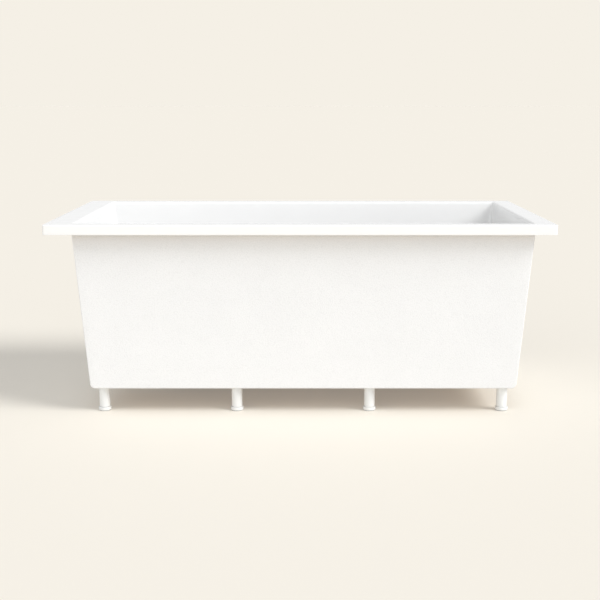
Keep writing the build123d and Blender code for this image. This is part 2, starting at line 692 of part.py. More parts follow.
def save_overflow():
    """The overflow in the left end wall, its hose and the control cable."""
    for maker in (overflow_body, overflow_gasket, overflow_cover, overflow_knob):
        save(maker.__name__, OVERFLOW * maker())
    save("overflow_screws", [OVERFLOW * overflow_screw(0), OVERFLOW * overflow_screw(180)])
    save("overflow_hose", overflow_hose())
    save("hose_nuts", hose_nuts())
    save("control_cable", control_cable())


os.makedirs("parts", exist_ok=True)
save_tub()
save_legs()
save_waste()
save_overflow()
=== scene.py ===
"""The bathtub's looks: a formed acrylic shell, its stippled laminate, the legs and the waste, in metres."""
import json
from math import atan, cos, pi, radians, sin, tan, tau

import bmesh
import bpy
from mathutils import Matrix, Vector, noise


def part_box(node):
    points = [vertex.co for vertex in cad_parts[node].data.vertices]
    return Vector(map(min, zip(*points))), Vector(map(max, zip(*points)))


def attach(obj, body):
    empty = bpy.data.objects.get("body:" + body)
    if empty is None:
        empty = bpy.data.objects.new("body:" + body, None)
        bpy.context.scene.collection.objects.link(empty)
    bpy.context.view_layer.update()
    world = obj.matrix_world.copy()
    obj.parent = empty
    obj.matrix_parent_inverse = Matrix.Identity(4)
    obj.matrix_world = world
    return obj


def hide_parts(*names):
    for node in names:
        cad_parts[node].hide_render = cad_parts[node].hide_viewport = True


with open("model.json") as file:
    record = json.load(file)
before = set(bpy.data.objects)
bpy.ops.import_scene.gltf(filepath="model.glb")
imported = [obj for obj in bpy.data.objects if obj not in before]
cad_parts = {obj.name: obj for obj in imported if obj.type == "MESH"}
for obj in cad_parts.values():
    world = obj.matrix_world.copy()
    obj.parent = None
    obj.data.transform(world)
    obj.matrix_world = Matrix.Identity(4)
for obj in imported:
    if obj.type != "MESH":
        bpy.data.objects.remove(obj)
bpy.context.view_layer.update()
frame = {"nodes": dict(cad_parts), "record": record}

MM = 0.001
SHELL_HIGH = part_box("acrylic_shell")[1]
BODY_LOW, BODY_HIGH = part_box("fibreglass_backing")
DRAIN_LOW, DRAIN_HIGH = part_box("drain_washer")

# Rim and sheet
RIM_TOP = SHELL_HIGH[2]
HALF_LENGTH = SHELL_HIGH[0]
HALF_WIDTH = SHELL_HIGH[1]
SHEET = 4 * MM
LIP_HEIGHT = 30 * MM
LIP_SUPPORT = 8 * MM
LIP_NOOK = 2 * MM
BACK_BEND = 3 * MM
RIM_CORNER = 6 * MM
RIM_EDGE = 1.8 * MM
LIP_FOOT_EDGE = 0.9 * MM
ROLL = 7.5 * MM

# Body
DRAFT = 0.0725
SIDE_GROWTH = 1 / cos(atan(DRAFT))
WALL = 8 * MM
BODY_CENTRE = (BODY_LOW[0] + BODY_HIGH[0]) / 2
BODY_HALF_LENGTH = (BODY_HIGH[0] - BODY_LOW[0]) / 2 + SHEET * DRAFT
BODY_HALF_WIDTH = BODY_HIGH[1] + SHEET * DRAFT
BODY_BOTTOM = BODY_LOW[2]
BODY_EDGE = 4 * MM
BODY_END_ROUND = 15 * MM
LAMINATE_WAVE = 0.22 * MM
SHEET_WAVE = 0.10 * MM

# Basin
BASIN_CORNER = 6 * MM
CORNER_GROWTH = 0.126
FLOOR = 98 * MM
FLOOR_SLOPE = tan(radians(0.4))
FLOOR_ROUND = 30 * MM

# Waste
DRAIN = Vector(((DRAIN_LOW[0] + DRAIN_HIGH[0]) / 2, 0, 0))
SUMP = 95 * MM
SUMP_RADIUS = 42 * MM
SUMP_ROUND = 2.5 * MM
SUMP_EDGE = 1.2 * MM
SUMP_EDGE_RISE = 1.0 * MM
DRAIN_HOLE = 26.5 * MM
BOARD_HALF = (631 * MM, 306 * MM)
BOARD_TOP = BODY_BOTTOM + 16 * MM
BOARD_CORNER = 0.3 * MM
BOARD_HOLE = 56 * MM
RECESS_RADIUS = 50 * MM
RECESS_TOP = 87 * MM

# Legs
LEG_NAMES = [f"{side}_{number}" for side in ("front", "back") for number in (1, 2, 3, 4)]
TUBE_BORE = 13.5 * MM
THREAD_LEAD = 4 * MM
THREAD_DEPTH = 1.1 * MM
THREAD_STEEPNESS = 5.2
THREAD_CREST = 0.8

# How finely the meshes are cut
CORNER_STEPS = 10
LONG_STEPS = 64
SHORT_STEPS = 34
ROUND_STEPS = 8
LIP_STEPS = 4
RIM_EDGE_STEPS = 6
RIM_STEPS = 8
WALL_STEPS = 26
FLOOR_STEPS = 14
FLOOR_SPACING = 0.8
BACK_WALL_STEPS = 5
BACK_FLOOR_STEPS = 4
SIDE_STEPS = 30
FOOT_STEPS = 7
LATHE_STEPS = 64

# Which loops wander: the basin's walls down to near their foot, the body's sides between their ends
WAVY_WALL_LOOPS = slice(0, 20)
WAVY_SIDE_LOOPS = slice(2, 29)

# A corner's least radius, and a lathe's radius where its profile meets the axis
LEAST_RADIUS = 0.2 * MM
AXIS = 0.01 * MM

# Overflow, in the left end wall
WALL_ANGLE = atan(DRAFT)
WALL_NORMAL = Vector((cos(WALL_ANGLE), 0, sin(WALL_ANGLE)))
WALL_UP = Vector((-sin(WALL_ANGLE), 0, cos(WALL_ANGLE)))
OVERFLOW_HOLE = 24 * MM
GASKET_DEPTH = 9.5 * MM
KNOB_RADIUS = 30 * MM
KNOB_SPINDLE_END = -41 * MM

# Light: the brightness of the surrounding light, and about how much of it and the sun a level floor gets
BACKDROP = (0.913, 0.871, 0.791)
EVEN_LIGHT = 0.4
FRONT_LIGHT = 1.05
MIRRORED_ROOM = 0.9
FRONT_DIRECTION = Vector((-0.45, -1, -0.2))
FRONT_ON_FLOOR = 0.153
SUN_ON_FLOOR = 0.5
FLOOR_GLOW = 0.19
GLOW_COLOUR = (0.9, 0.89, 0.87)
SUN_DIRECTION = Vector((0.68, -0.3, 0.6))
SUN_ANGLE = 30
FLOOR_REACH = 200.0


def overflow_matrix():
    """The overflow's place: Z points into the basin, Y points up the wall, X points along +Y."""
    low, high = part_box("overflow_gasket")
    centre = (Vector(low) + Vector(high)) / 2 + WALL_NORMAL * GASKET_DEPTH
    axes = Matrix((Vector((0, 1, 0)), WALL_UP, WALL_NORMAL)).transposed().to_4x4()
    return Matrix.Translation(centre) @ axes


# ---------------------------------------------------------------- mesh helpers


def new_piece(name, mesh, body, material, slot, *replaced):
    """Turn a mesh into a piece that rides on a body and stands for CAD nodes."""
    piece = bpy.data.objects.new(name, mesh)
    bpy.context.scene.collection.objects.link(piece)
    mesh.materials.clear()
    mesh.materials.append(material)
    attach(piece, body)
    if replaced:
        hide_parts(*replaced)
    return piece


def smooth(mesh, angle=35):
    """Shade a mesh smooth, with its sharp edges kept sharp."""
    for polygon in mesh.polygons:
        polygon.use_smooth = True
    mesh.set_sharp_from_angle(angle=radians(angle))


def mesh_of_loops(name, loops, closed=False, capped=False, angle=35):
    """Skin a list of equally long closed loops of points; closed joins the last loop to the first."""
    count = len(loops[0])
    vertices = [point for loop in loops for point in loop]
    faces = []
    spans = len(loops) if closed else len(loops) - 1
    for row in range(spans):
        here = row * count
        there = (row + 1) % len(loops) * count
        for index in range(count):
            following = (index + 1) % count
            faces.append((here + index, here + following, there + following, there + index))
    if capped:
        faces.append(tuple(range(count)))
        last = (len(loops) - 1) * count
        faces.append(tuple(range(last, last + count)))
    mesh = bpy.data.meshes.new(name)
    mesh.from_pydata([tuple(vertex) for vertex in vertices], [], faces)
    form = bmesh.new()
    form.from_mesh(mesh)
    bmesh.ops.remove_doubles(form, verts=form.verts, dist=1e-7)
    bmesh.ops.dissolve_degenerate(form, edges=form.edges, dist=1e-7)
    bmesh.ops.recalc_face_normals(form, faces=form.faces)
    form.to_mesh(mesh)
    form.free()
    smooth(mesh, angle)
    return mesh


def circle(radius, height, steps=LATHE_STEPS):
    """A level circle of points about the Z axis."""
    turns = [tau * index / steps for index in range(steps)]
    return [Vector((radius * cos(turn), radius * sin(turn), height)) for turn in turns]


def lathe(name, profile, closed=True, steps=LATHE_STEPS, angle=35):
    """Turn a profile of (radius, height) points about the Z axis."""
    loops = [circle(radius, height, steps) for radius, height in profile]
    return mesh_of_loops(name, loops, closed=closed, capped=not closed, angle=angle)


def join(name, meshes, angle=35):
    """Put several meshes in one."""
    form = bmesh.new()
    for mesh in meshes:
        form.from_mesh(mesh)
    joined = bpy.data.meshes.new(name)
    form.to_mesh(joined)
    form.free()
    smooth(joined, angle)
    return joined


def arc(centre, radius, start, end, steps=6):
    """Points of a round corner in a profile, in degrees."""
    points = []
    for step in range(steps + 1):
        angle = radians(start + (end - start) * step / steps)
        points.append((centre[0] + radius * cos(angle), centre[1] + radius * sin(angle)))
    return points


def blend_loops(first, last, steps):
    """The loops strictly between two loops, evenly spaced."""
    loops = []
    for step in range(1, steps):
        share = step / steps
        loops.append([a.lerp(b, share) for a, b in zip(first, last)])
    return loops


def cut(body_mesh, cutter_mesh):
    """Take one closed mesh away from another and return the result."""
    body = bpy.data.objects.new("cut_body", body_mesh)
    tool = bpy.data.objects.new("cut_tool", cutter_mesh)
    for thing in (body, tool):
        bpy.context.scene.collection.objects.link(thing)
    modifier = body.modifiers.new("cut", "BOOLEAN")
    modifier.operation = "DIFFERENCE"
    modifier.solver = "EXACT"
    modifier.object = tool
    depsgraph = bpy.context.evaluated_depsgraph_get()
    result = bpy.data.meshes.new_from_object(body.evaluated_get(depsgraph))
    bpy.data.objects.remove(body)
    bpy.data.objects.remove(tool)
    return result


def rounded_loop(half_x, half_y, radius, centre_x, height):
    """A rounded rectangle of points, always with the same count and order; height may be a function."""
    radius = max(radius, LEAST_RADIUS)
    corners = ((1, -1, -90), (1, 1, 0), (-1, 1, 90), (-1, -1, 180))
    points = []
    for index, (side_x, side_y, start) in enumerate(corners):
        middle = Vector((side_x * (half_x - radius), side_y * (half_y - radius), 0))
        for step in range(CORNER_STEPS + 1):
            angle = radians(start + 90 * step / CORNER_STEPS)
            points.append(middle + radius * Vector((cos(angle), sin(angle), 0)))
        steps = SHORT_STEPS if index % 2 == 0 else LONG_STEPS
        next_x, next_y, next_start = corners[(index + 1) % 4]
        far = Vector((next_x * (half_x - radius), next_y * (half_y - radius), 0))
        turn = radians(next_start)
        far += radius * Vector((cos(turn), sin(turn), 0))
        near = points[-1]
        points += [near.lerp(far, step / steps) for step in range(1, steps)]
    for point in points:
        point.x += centre_x
        point.z = height(point) if callable(height) else height
    return points


# ---------------------------------------------------------------- the tub


def rim_loop(inset, height):
    """The rim's outer outline drawn in by an inset."""
    return rounded_loop(HALF_LENGTH - inset, HALF_WIDTH - inset, RIM_CORNER - inset, 0, height)


def floor_lift(share):
    """How much a point rises above its nominal height, where share is 1 on the sloping floor."""
    return lambda point: share * FLOOR_SLOPE * (point.x - DRAIN.x)


def basin_loop(drop, grow, share=0.0):
    """The basin's outline at a drop below the rim, grown outward."""
    half_x = BODY_HALF_LENGTH - drop * DRAFT - (WALL - grow) * SIDE_GROWTH
    half_y = BODY_HALF_WIDTH - drop * DRAFT - (WALL - grow) * SIDE_GROWTH
    radius = BASIN_CORNER + drop * CORNER_GROWTH + grow
    lift = floor_lift(share)
    return rounded_loop(half_x, half_y, radius, BODY_CENTRE, lambda point: RIM_TOP - drop + lift(point))


def round_inset(rise, radius):
    """How far an edge's round has drawn in at a rise above the bottom."""
    left = max(radius - rise, 0.0)
    return radius - (radius * radius - left * left) ** 0.5


def body_loop(height):
    """The body's outline at a height, with large rounds at the ends' foot and small ones at the sides'."""
    drop = RIM_TOP - height
    rise = height - BODY_BOTTOM
    half_x = BODY_HALF_LENGTH - drop * DRAFT - round_inset(rise, BODY_END_ROUND)
    half_y = BODY_HALF_WIDTH - drop * DRAFT - round_inset(rise, BODY_EDGE)
    return rounded_loop(half_x, half_y, BODY_EDGE, BODY_CENTRE, height)


def round_drain(loop, radius, height):
    """A circle about the drain whose points lie on the way from the drain to a loop's points."""
    points = []
    for point in loop:
        away = Vector((point.x - DRAIN.x, point.y, 0)).normalized()
        points.append(DRAIN + away * radius + Vector((0, 0, height)))
    return points


def basin_floor(grow, wall_steps, floor_steps):
    """Loops from the rolled rim down the wall, round the floor's edge and across to the sump's edge."""
    depth = RIM_TOP - FLOOR + grow
    radius = FLOOR_ROUND + grow
    loops = []
    wall_end = depth - radius
    wall_start = ROLL if grow == 0 else SHEET
    for step in range(1, wall_steps):
        share = step / wall_steps
        loops.append(basin_loop(wall_start + (wall_end - wall_start) * share, grow, share))
    for step in range(ROUND_STEPS + 1):
        angle = pi / 2 * step / ROUND_STEPS
        inward = radius * (1 - cos(angle))
        drop = wall_end + radius * sin(angle)
        loop = basin_loop(wall_end, grow - inward, 1.0)
        for point in loop:
            point.z -= drop - wall_end
        loops.append(loop)
    edge = loops[-1]
    sump_edge = round_drain(edge, SUMP_RADIUS + grow, FLOOR - grow)
    for point in sump_edge:
        point.z += FLOOR_SLOPE * (point.x - DRAIN.x)
    for step in range(1, floor_steps):
        share = (step / floor_steps) ** FLOOR_SPACING
        loops.append([a.lerp(b, share) for a, b in zip(edge, sump_edge)])
    loops.append(sump_edge)
    return loops


def wander(loops, amount, scale, seed):
    """Move points slightly in or out along X or Y, as a hand-finished surface wanders."""
    offset = Vector((seed, seed * 0.37, seed * 1.91))
    for loop in loops:
        for point in loop:
            step = noise.noise(point * scale + offset) * amount
            away = Vector((point.x / HALF_LENGTH, point.y / HALF_WIDTH, 0))
            if abs(away.x) > abs(away.y):
                point.x += step * (1 if away.x > 0 else -1)
            else:
                point.y += step * (1 if away.y > 0 else -1)


def lip_loops():
    """Loops down the lip's inside, round its foot, up its outside and round the rim's top edge."""
    foot = RIM_TOP - LIP_HEIGHT
    loops = [rim_loop(SHEET, RIM_TOP - SHEET - LIP_NOOK)]
    loops += [rim_loop(SHEET, foot + LIP_SUPPORT), rim_loop(SHEET, foot + LIP_FOOT_EDGE)]
    for step in range(1, LIP_STEPS + 1):
        angle = pi / 2 * step / LIP_STEPS
        inset = SHEET - LIP_FOOT_EDGE * (1 - cos(angle))
        loops.append(rim_loop(inset, foot + LIP_FOOT_EDGE * (1 - sin(angle))))
    for step in range(LIP_STEPS + 1):
        angle = pi / 2 * step / LIP_STEPS
        inset = LIP_FOOT_EDGE * (1 - sin(angle))
        loops.append(rim_loop(inset, foot + LIP_FOOT_EDGE * (1 - cos(angle))))
    outside = [rim_loop(0, foot + (LIP_HEIGHT - RIM_EDGE) * share) for share in (0.25, 0.5, 0.75, 1.0)]
    wander(outside[:-1], SHEET_WAVE, scale=6.0, seed=3.1)
    loops += outside
    for step in range(1, RIM_EDGE_STEPS + 1):
        angle = pi / 2 * step / RIM_EDGE_STEPS
        inset = RIM_EDGE * (1 - cos(angle))
        loops.append(rim_loop(inset, RIM_TOP - RIM_EDGE * (1 - sin(angle))))
    return loops


def rim_top_loops():
    """Loops across the rim, which dips a little where the sheet was formed, and over the roll inward."""
    outer = rim_loop(RIM_EDGE, RIM_TOP)
    inner = basin_loop(0, ROLL)
    flat = blend_loops(outer, inner, RIM_STEPS)
    noise_scale = 5.0
    noise_place = Vector((7.7, 1.3, 0))
    below_rim = 0.6
    for loop in flat:
        for point in loop:
            point.z += (noise.noise(point * noise_scale + noise_place) - below_rim) * SHEET_WAVE
    roll = []
    for step in range(ROUND_STEPS + 1):
        angle = pi / 2 * step / ROUND_STEPS
        roll.append(basin_loop(ROLL * (1 - cos(angle)), ROLL * (1 - sin(angle))))
    return flat + roll


def sheet_underside():
    """Loops of the sheet's back, from the sump's edge up to the top of the walls."""
    loops = basin_floor(SHEET, BACK_WALL_STEPS, BACK_FLOOR_STEPS)
    loops.reverse()
    return loops


def tub_shell(material):
    """The acrylic sheet in one closed skin: lip, rim, walls, floor and sump, with the overflow's hole."""
    loops = lip_loops() + rim_top_loops()
    inside = basin_floor(0.0, WALL_STEPS, FLOOR_STEPS)
    wander(inside[WAVY_WALL_LOOPS], SHEET_WAVE, scale=4.0, seed=9.4)
    loops += inside
    edge = inside[-1]
    steps = (
        (SUMP_RADIUS - SUMP_EDGE, SUMP + SUMP_EDGE_RISE),
        (SUMP_RADIUS - SUMP_ROUND, SUMP),
        ((SUMP_RADIUS + DRAIN_HOLE) / 2, SUMP),
        (DRAIN_HOLE, SUMP),
        (DRAIN_HOLE, SUMP - SHEET),
        (SUMP_RADIUS + SHEET, SUMP - SHEET),
    )
    loops += [round_drain(edge, radius, height) for radius, height in steps]
    loops += sheet_underside()
    loops.append(basin_loop(SHEET + BACK_BEND, SHEET))
    loops.append(basin_loop(SHEET, SHEET + BACK_BEND))
    loops.append(rim_loop(SHEET + LIP_NOOK, RIM_TOP - SHEET))
    mesh = mesh_of_loops("tub_shell", loops, closed=True, angle=50)
    mesh = cut(mesh, overflow_cutter())
    smooth(mesh, 50)
    return new_piece("tub_shell", mesh, "root", material, "acrylic", "acrylic_shell")


def body_side_loops():
    """Loops down the body's outside and round its foot, where the ends turn in before the sides do."""
    loops = []
    top = RIM_TOP - SHEET
    straight_end = BODY_BOTTOM + BODY_END_ROUND
    for step in range(SIDE_STEPS + 1):
        loops.append(body_loop(top + (straight_end - top) * step / SIDE_STEPS))
    side_start = BODY_EDGE / BODY_END_ROUND
    for step in range(1, FOOT_STEPS + 1):
        share = 1 - (1 - side_start) * sin(pi / 2 * step / FOOT_STEPS)
        loops.append(body_loop(BODY_BOTTOM + BODY_END_ROUND * share))
    for step in range(1, FOOT_STEPS + 1):
        loops.append(body_loop(BODY_BOTTOM + BODY_EDGE * (1 - sin(pi / 2 * step / FOOT_STEPS))))
    wander(loops[WAVY_SIDE_LOOPS], LAMINATE_WAVE, scale=9.0, seed=5.3)
    return loops


def tub_laminate(material):
    """The stippled outer body with its rounded foot, the board's pocket and the drain's recess."""
    loops = body_side_loops()
    half_x, half_y = BOARD_HALF
    for height in (BODY_BOTTOM, BOARD_TOP):
        loops.append(rounded_loop(half_x, half_y, BOARD_CORNER, BODY_CENTRE, height))
    edge = loops[-1]
    steps = (
        (BOARD_HOLE, BOARD_TOP),
        (BOARD_HOLE, BODY_BOTTOM),
        (RECESS_RADIUS, BODY_BOTTOM),
        (RECESS_RADIUS, RECESS_TOP),
        (DRAIN_HOLE, RECESS_TOP),
        (DRAIN_HOLE, SUMP - SHEET),
        (SUMP_RADIUS + SHEET, SUMP - SHEET),
    )
    loops += [round_drain(edge, radius, height) for radius, height in steps]
    loops += sheet_underside()
    loops.append(basin_loop(SHEET, SHEET))
    mesh = mesh_of_loops("tub_laminate", loops, closed=True, angle=40)
    mesh = cut(mesh, overflow_cutter())
    smooth(mesh, 40)
    return new_piece("tub_laminate", mesh, "root", material, "laminate", "fibreglass_backing")


def overflow_cutter():
    """A cylinder through the end wall where the overflow sits."""
    reach = 30 * MM
    mesh = lathe("overflow_cutter", [(OVERFLOW_HOLE, -reach), (OVERFLOW_HOLE, reach)], closed=False)
    mesh.transform(overflow_matrix())
    return mesh


# ---------------------------------------------------------------- the legs


def leg_centre(name):
    """The leg's axis on the floor, from its pad."""
    low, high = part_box(f"foot_pad_{name}")
    return Vector(((low[0] + high[0]) / 2, (low[1] + high[1]) / 2, 0))


def leg_tube_mesh():
    """A plastic tube with a slight taper and softened ends."""
    low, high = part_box("leg_tube_front_1")
    taper = 0.4 * MM
    bore_edge = 0.6 * MM
    bottom_round = 0.9 * MM
    top_round = 0.7 * MM
    top_radius = (high[0] - low[0]) / 2
    bottom_radius = top_radius - taper
    bottom, top = low[2], high[2]
    profile = [(TUBE_BORE, bottom + bore_edge)]
    profile += arc((bottom_radius - bottom_round, bottom + bottom_round), bottom_round, 270, 360)
    for share in (0.1, 0.3, 0.5, 0.7, 0.9):
        profile.append((bottom_radius + taper * share, bottom + (top - bottom) * share))
    profile += arc((top_radius - top_round, top - top_round), top_round, 0, 90)
    profile.append((TUBE_BORE, top))
    return lathe("leg_tube", profile)


def collar_mesh(radius, bottom, top):
    """The foot's collar: rounded edges, and a top face that is sunk a little inside a flat ring."""
    bore = 9 * MM
    bottom_round = 1.0 * MM
    shoulder = 2.0 * MM
    ring_radius = 17.0 * MM
    sunk_radius = 16.6 * MM
    sunk_depth = 0.35 * MM
    profile = [(bore, bottom)]
    profile += arc((radius - bottom_round, bottom + bottom_round), bottom_round, 270, 360)
    profile += arc((radius - shoulder, top - shoulder), shoulder, 0, 90, 10)
    profile.append((ring_radius, top))
    profile.append((sunk_radius, top - sunk_depth))
    profile.append((bore, top - sunk_depth))
    return lathe("collar", profile)


def thread_depth(height, turn):
    """How deep the thread's groove is at a height and a share of a turn: flat crests and roots."""
    phase = ((height - THREAD_LEAD * turn) / THREAD_LEAD) % 1.0
    flank = min(max(abs(phase - 0.5) * THREAD_STEEPNESS - THREAD_CREST, 0), 1)
    return THREAD_DEPTH * flank


def spindle_mesh(bottom, top):
    """The foot's spindle with a real helical thread, drawn in at its tip."""
    radius = 8 * MM
    row_height = 0.4 * MM
    tip_length = 1.5 * MM
    tip_inset = 1.0 * MM
    steps = 40
    rows = int((top - bottom) / row_height)
    loops = []
    for row in range(rows + 1):
        height = bottom + (top - bottom) * row / rows
        fade = min((top - height) / tip_length, 1)
        loop = []
        for index in range(steps):
            angle = tau * index / steps
            reach = radius - thread_depth(height, index / steps) - tip_inset * (1 - fade)
            loop.append(Vector((reach * cos(angle), reach * sin(angle), height)))
        loops.append(loop)
    return mesh_of_loops("spindle", loops, capped=True, angle=50)


def foot_mesh():
    """A levelling foot: its collar, and its threaded spindle from just inside the collar up."""
    low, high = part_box("levelling_foot_front_1")
    collar_height = 9.2 * MM
    spindle_overlap = 1.0 * MM
    collar_top = low[2] + collar_height
    collar = collar_mesh((high[0] - low[0]) / 2, low[2], collar_top)
    spindle = spindle_mesh(collar_top - spindle_overlap, high[2])
    return join("levelling_foot", [collar, spindle], 40)


def pad_mesh():
    """The soft disc under the collar, with a rounded foot and a shallow dish underneath."""
    low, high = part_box("foot_pad_front_1")
    dish_depth = 0.5 * MM
    dish_radius = 9 * MM
    dish_mouth = 10 * MM
    bottom_round = 0.8 * MM
    top_edge = 0.3 * MM
    radius = (high[0] - low[0]) / 2
    top = high[2]
    profile = [(AXIS, dish_depth), (dish_radius, dish_depth), (dish_mouth, 0.0)]
    profile += arc((radius - bottom_round, bottom_round), bottom_round, 270, 360)
    profile += [(radius, top - top_edge), (radius - top_edge, top), (AXIS, top)]
    return lathe("foot_pad", profile)


def legs(materials):
    """Eight legs: each tube on the root body, each foot and each pad on its own body."""
    tube, foot, pad = leg_tube_mesh(), foot_mesh(), pad_mesh()
    parts = (
        (tube, "leg_tube", "root", "leg_plastic", "leg_plastic"),
        (foot, "levelling_foot", "foot_{}", "leg_plastic", "leg_plastic"),
        (pad, "foot_pad", "pad_{}", "foot_rubber", "foot_rubber"),
    )
    for name in LEG_NAMES:
        place = Matrix.Translation(leg_centre(name))
        for source, node, body, slot, material in parts:
            mesh = source.copy()
            mesh.transform(place)
            label = f"{node}_turned_{name}"
            new_piece(label, mesh, body.format(name), materials[material], slot, f"{node}_{name}")


# ---------------------------------------------------------------- waste and overflow


def plug_cap(material):
    """The polished cap: a shallow dome, a fine step and a rolled edge, with its boss below."""
    low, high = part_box("plug_cap")
    boss = 7 * MM
    boss_edge = 0.5 * MM
    thickness = 3 * MM
    rolled_edge = 1.2 * MM
    step_outer, step_outer_drop = 3.2 * MM, 0.75 * MM
    step_inner, step_inner_drop = 3.6 * MM, 0.9 * MM
    dome_drop = 0.8 * MM
    radius = (high[0] - low[0]) / 2
    underside = high[2] - thickness
    profile = [(AXIS, low[2]), (boss - boss_edge, low[2]), (boss, low[2] + boss_edge), (boss, underside)]
    profile += arc((radius - rolled_edge, underside + rolled_edge), rolled_edge, 270, 380, 8)
    profile.append((radius - step_outer, high[2] - step_outer_drop))
    profile.append((radius - step_inner, high[2] - step_inner_drop))
    for share in (0.85, 0.7, 0.55, 0.4, 0.25, 0.1):
        profile.append((radius * share, high[2] - dome_drop * share * share))
    profile.append((AXIS, high[2]))
    mesh = lathe("plug_cap_dome", profile, steps=96)
    mesh.transform(Matrix.Translation(DRAIN))
    new_piece("plug_cap_dome", mesh, "plug", material, "chrome", "plug_cap")


def knob_profile():
    """The knob's outline from its spindle's end round its disc to the middle of its face."""
    spindle = 4 * MM
    back = 10 * MM
    back_round, back_round_height = 1.2 * MM, 11.2 * MM
    front_round, front_round_height = 2.2 * MM, 12.8 * MM
    slope_width, slope_height = 6 * MM, 14.6 * MM
    face_radius, face_height = 12 * MM, 14.2 * MM
    profile = [(spindle, KNOB_SPINDLE_END), (spindle, back), (KNOB_RADIUS - back_round, back)]
    profile += arc((KNOB_RADIUS - back_round, back_round_height), back_round, 270, 360, 4)
    profile += arc((KNOB_RADIUS - front_round, front_round_height), front_round, 0, 90, 8)
    profile += [(KNOB_RADIUS - slope_width, slope_height), (face_radius, face_height), (AXIS, face_height)]
    return profile


def knob_disc():
    """The knob's fluted disc, its shallow face and its spindle, about the Z axis."""
    flutes = 36
    points_per_flute = 6
    flute_depth = 0.35 * MM
    fluted_width = 1.6 * MM
    steps = flutes * points_per_flute
    loops = [circle(AXIS, KNOB_SPINDLE_END, steps)]
    for radius, height in knob_profile():
        loop = circle(radius, height, steps)
        depth = flute_depth if radius > KNOB_RADIUS - fluted_width else 0.0
        for index, point in enumerate(loop):
            groove = depth * (0.5 + 0.5 * cos(tau * flutes * index / steps))
            point.x *= 1 - groove / radius
            point.y *= 1 - groove / radius
        loops.append(loop)
    return mesh_of_loops("knob_disc", loops, closed=False, capped=True, angle=40)


def grip_loop(inset, height, steps=72):
    """The grip's outline, drawn in by an inset: a bar with full ends that is narrower in its middle."""
    half_long, half_short = 22.5 * MM, 4.3 * MM
    end_swell = 0.35
    side_fullness = 0.75
    end_fullness = 0.8
    scale_x = 1 - inset / (half_short * (1 + end_swell))
    scale_y = 1 - inset / half_long
    loop = []
    for index in range(steps):
        angle = tau * index / steps
        along = cos(angle)
        across = sin(angle)
        bulge = 1 + end_swell * along * along
        x = half_short * bulge * (abs(across) ** side_fullness) * (1 if across >= 0 else -1)
        y = half_long * (abs(along) ** end_fullness) * (1 if along >= 0 else -1)
        loop.append(Vector((x * scale_x, y * scale_y, height)))
    return loop


def knob_grip():
    """The raised bar across the knob, waisted in the middle, with a softly rounded top."""
    base, top = 13.6 * MM, 23.9 * MM
    round_over = 3.2 * MM
    round_steps = 7
    loops = [grip_loop(0.0, base), grip_loop(0.0, top - round_over)]
    for step in range(1, round_steps + 1):
        angle = pi / 2 * step / round_steps
        loops.append(grip_loop(round_over * (1 - cos(angle)), top - round_over * (1 - sin(angle))))
    return mesh_of_loops("knob_grip", loops, capped=True, angle=50)


def overflow_knob(material):
    """The overflow's turning knob, in the end wall's frame."""
    mesh = join("overflow_knob_turned", [knob_disc(), knob_grip()], 45)
    mesh.transform(overflow_matrix())
    new_piece("overflow_knob_turned", mesh, "knob", material, "chrome", "overflow_knob")


def bend_path(start, corner, end, radius, spacing):
    """Evenly spaced (point, direction, way so far) along two straight runs joined by an arc."""
    first = (corner - start).normalized()
    second = (end - corner).normalized()
    turn = first.angle(second)
    reach = radius * tan(turn / 2)
    run_a = (corner - start).length - reach
    run_b = (end - corner).length - reach
    curve = radius * turn
    inward = (second - first * second.dot(first)).normalized()
    centre = start + first * run_a + inward * radius
    count = int((run_a + curve + run_b) / spacing)
    places = []
    for index in range(count + 1):
        way = (run_a + curve + run_b) * index / count
        if way <= run_a:
            places.append((start + first * way, first, way))
        elif way < run_a + curve:
            angle = (way - run_a) / radius
            out = -inward * cos(angle) + first * sin(angle)
            places.append((centre + out * radius, first * cos(angle) + inward * sin(angle), way))
        else:
            left = way - run_a - curve
            places.append((corner + second * (reach + left), second, way))
    return places


def hose_path(radius):
    """The hose's way: down along the end wall from the overflow, then level to its nut at the drain."""
    low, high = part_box("overflow_hose")
    overflow_outlet = Vector((0, -39 * MM, -30 * MM))
    bend_radius = 50 * MM
    spacing = 0.7 * MM
    start = overflow_matrix() @ overflow_outlet
    level = low[2] + radius
    down = -WALL_UP
    corner = start + down * ((start.z - level) / -down.z)
    end = Vector((high[0], 0, level))
    return bend_path(start, corner, end, bend_radius, spacing)


def hose_ring(point, direction, radius, steps=32):
    """A circle of points across the hose at a place on its way."""
    sideways = Vector((0, 1, 0))
    up = direction.cross(sideways)
    turns = [tau * index / steps for index in range(steps)]
    return [point + (up * cos(turn) + sideways * sin(turn)) * radius for turn in turns]


def overflow_hose(material):
    """The corrugated hose: plain cuffs under its two nuts and rounded rings between them."""
    low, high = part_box("overflow_hose")
    cuff = 18 * MM
    pitch = 5 * MM
    groove = 1.1 * MM
    groove_sharpness = 1.6
    wall = 2 * MM
    bore_spacing = 24
    radius = (high[1] - low[1]) / 2
    places = hose_path(radius)
    total = places[-1][2]
    outside = []
    for point, direction, way in places:
        depth = 0.0
        if cuff < way < total - cuff:
            depth = groove * (0.5 - 0.5 * cos(tau * (way - cuff) / pitch)) ** groove_sharpness
        outside.append(hose_ring(point, direction, radius - depth))
    bore_places = places[::bore_spacing] + [places[-1]]
    inside = [hose_ring(point, direction, radius - wall) for point, direction, way in bore_places]
    inside.reverse()
    mesh = mesh_of_loops("overflow_hose_ribbed", outside + inside, closed=True, angle=60)
    new_piece("overflow_hose_ribbed", mesh, "root", material, "hose_plastic", "overflow_hose")


# ---------------------------------------------------------------- materials


